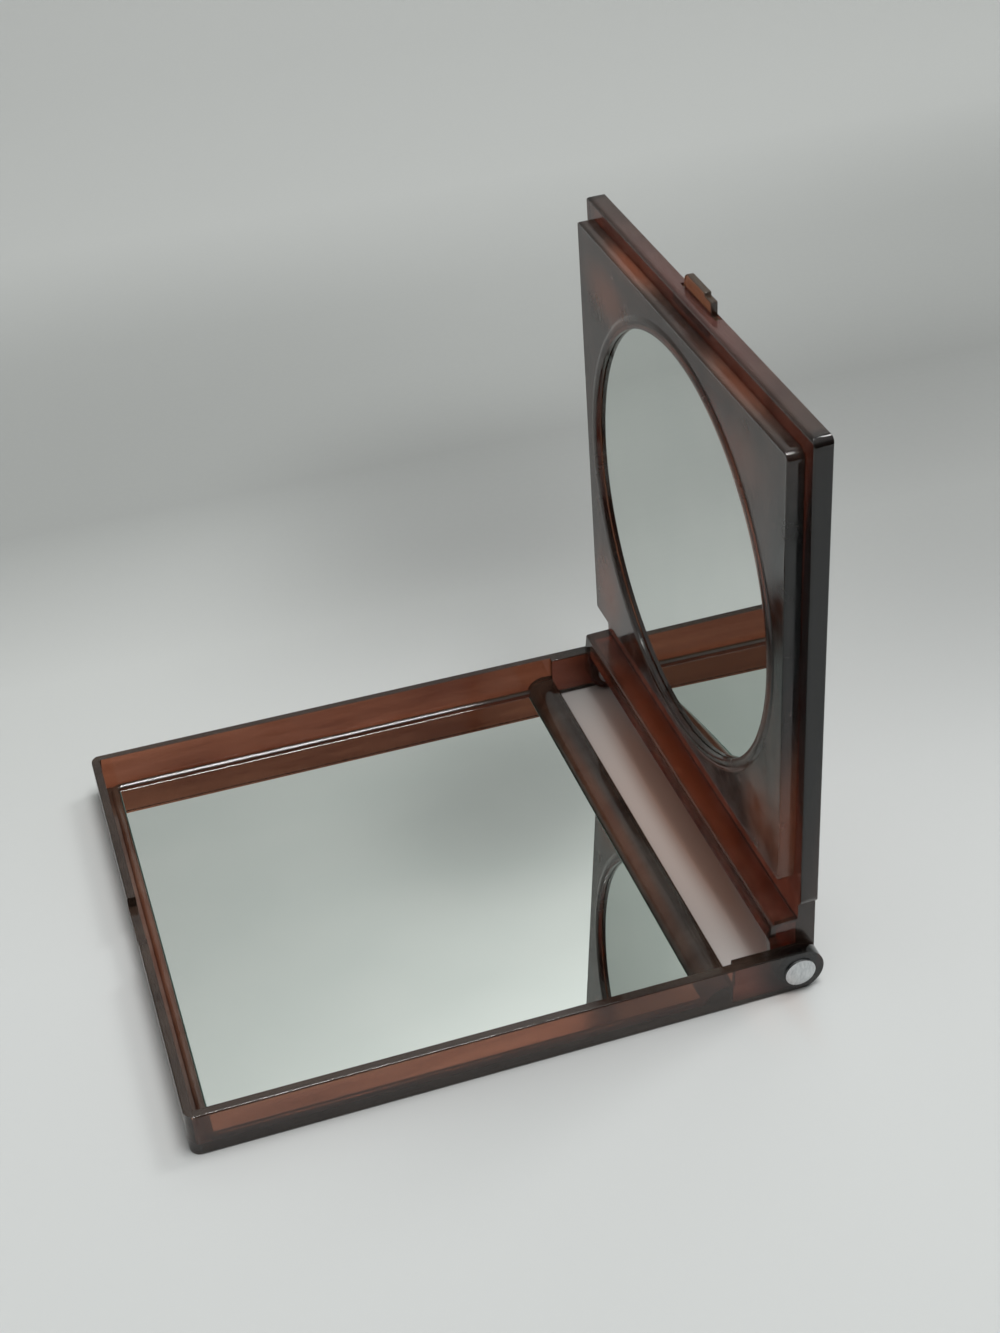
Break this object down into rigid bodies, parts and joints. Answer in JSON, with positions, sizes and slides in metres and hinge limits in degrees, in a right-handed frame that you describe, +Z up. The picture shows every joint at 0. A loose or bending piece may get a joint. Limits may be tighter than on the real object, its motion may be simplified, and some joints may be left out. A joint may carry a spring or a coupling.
{
  "type": "compact mirror",
  "caption": "Folding travel mirror: shallow tinted plastic base with a flat mirror and a riveted lid with a round magnifying mirror.",
  "frame": {"origin": "on the table under the middle of the open mirror's box", "axes": "+X from the closing edge to the hinge, +Y along the hinge, across the case, +Z up"},
  "size_m": [0.1272, 0.1118, 0.128],
  "materials": {
    "case_plastic": "polished moulding, tinted tortoiseshell brown",
    "lid_plastic": "polished moulding, tinted tortoiseshell brown",
    "bezel_plastic": "polished moulding, tinted tortoiseshell brown",
    "tab_plastic": "polished moulding, lighter amber brown",
    "mirror_glass": "silvered glass",
    "adhesive": "matt film",
    "rivet_metal": "bright, slightly worn",
    "washer_nylon": "natural nylon"
  },
  "bodies": {
    "base": {"base_frame": "case_plastic", "base_mirror": "mirror_glass", "base_mirror_film": "adhesive", "hinge_rivet_near": "rivet_metal", "hinge_rivet_far": "rivet_metal", "friction_washer_near": "washer_nylon", "friction_washer_far": "washer_nylon", "clinch_washer_near": "rivet_metal", "clinch_washer_far": "rivet_metal"},
    "lid": {"lid_shell": "lid_plastic", "round_mirror_bezel": "bezel_plastic", "round_mirror": "mirror_glass", "round_mirror_pad": "adhesive", "catch_tab": "tab_plastic"}
  },
  "joints": [
    {"name": "lid_hinge", "type": "hinge", "parent": "base", "child": "lid", "pos_m": [0.05842, 0, 0.00515], "axis": [0, 1, 0], "range_deg": [-87.7, 92.3]}
  ]
}
